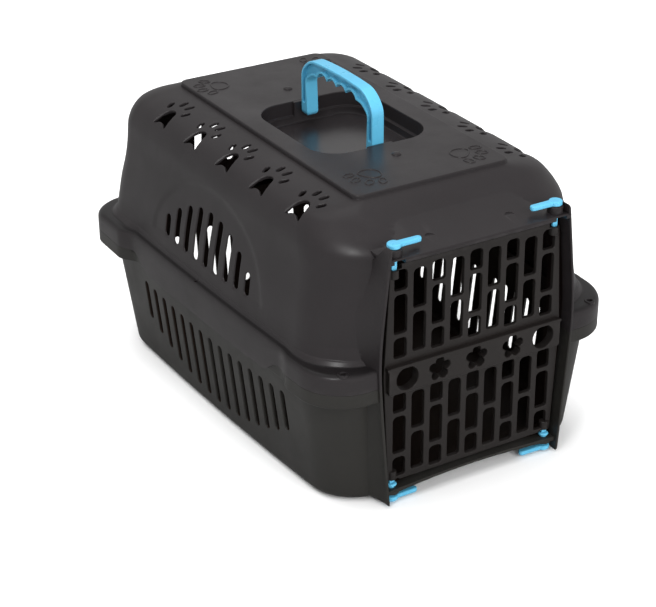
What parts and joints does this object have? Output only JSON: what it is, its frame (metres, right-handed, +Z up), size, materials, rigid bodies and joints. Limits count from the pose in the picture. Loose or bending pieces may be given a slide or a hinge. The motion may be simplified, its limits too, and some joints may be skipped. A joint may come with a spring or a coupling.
{
  "type": "pet transport carrier",
  "caption": "Portable carrier for a cat or small dog: ventilated two-part plastic shell with a grille door, turn latches and a folding carry handle.",
  "frame": {"origin": "on the ground at the centre of the footprint's bounding box", "axes": "+Z up, -Y out of the door, +X to the right of a viewer who faces the door"},
  "size_m": [0.3794, 0.51, 0.358],
  "materials": {
    "tray_plastic": "fine leather grain, semi-matt",
    "shell_plastic": "fine leather grain, satin",
    "door_plastic": "satin",
    "blue_plastic": "glossy"
  },
  "bodies": {
    "tray": {"lower_tray": "tray_plastic"},
    "shell": {"upper_shell": "shell_plastic"},
    "carry_handle": {"handle": "blue_plastic"},
    "grille_door": {"door": "door_plastic"},
    "top_left_latch": {"latch_top_left": "blue_plastic"},
    "top_right_latch": {"latch_top_right": "blue_plastic"},
    "bottom_left_latch": {"latch_bottom_left": "blue_plastic"},
    "bottom_right_latch": {"latch_bottom_right": "blue_plastic"}
  },
  "joints": [
    {"name": "shell_lift", "type": "slide", "parent": "tray", "child": "shell", "axis": [0, 0, 1], "range_m": [0, 0.2]},
    {"name": "handle_swing", "type": "hinge", "parent": "shell", "child": "carry_handle", "pos_m": [0, 0.0045, 0.295], "axis": [0, 1, 0], "range_deg": [-90, 90]},
    {"name": "door_swing", "type": "hinge", "parent": "tray", "child": "grille_door", "pos_m": [0.0935, -0.2435, 0.1415], "axis": [0, 0, 1], "range_deg": [0, 110]},
    {"name": "top_left_latch_turn", "type": "hinge", "parent": "shell", "child": "top_left_latch", "pos_m": [-0.0935, -0.2435, 0.27], "axis": [0, 0, 1], "range_deg": [-90, 0]},
    {"name": "top_right_latch_turn", "type": "hinge", "parent": "shell", "child": "top_right_latch", "pos_m": [0.0935, -0.2435, 0.27], "axis": [0, 0, 1], "range_deg": [0, 90]},
    {"name": "bottom_left_latch_turn", "type": "hinge", "parent": "tray", "child": "bottom_left_latch", "pos_m": [-0.0935, -0.2435, 0.014], "axis": [0, 0, 1], "range_deg": [-90, 0]},
    {"name": "bottom_right_latch_turn", "type": "hinge", "parent": "tray", "child": "bottom_right_latch", "pos_m": [0.0935, -0.2435, 0.014], "axis": [0, 0, 1], "range_deg": [0, 90]}
  ]
}
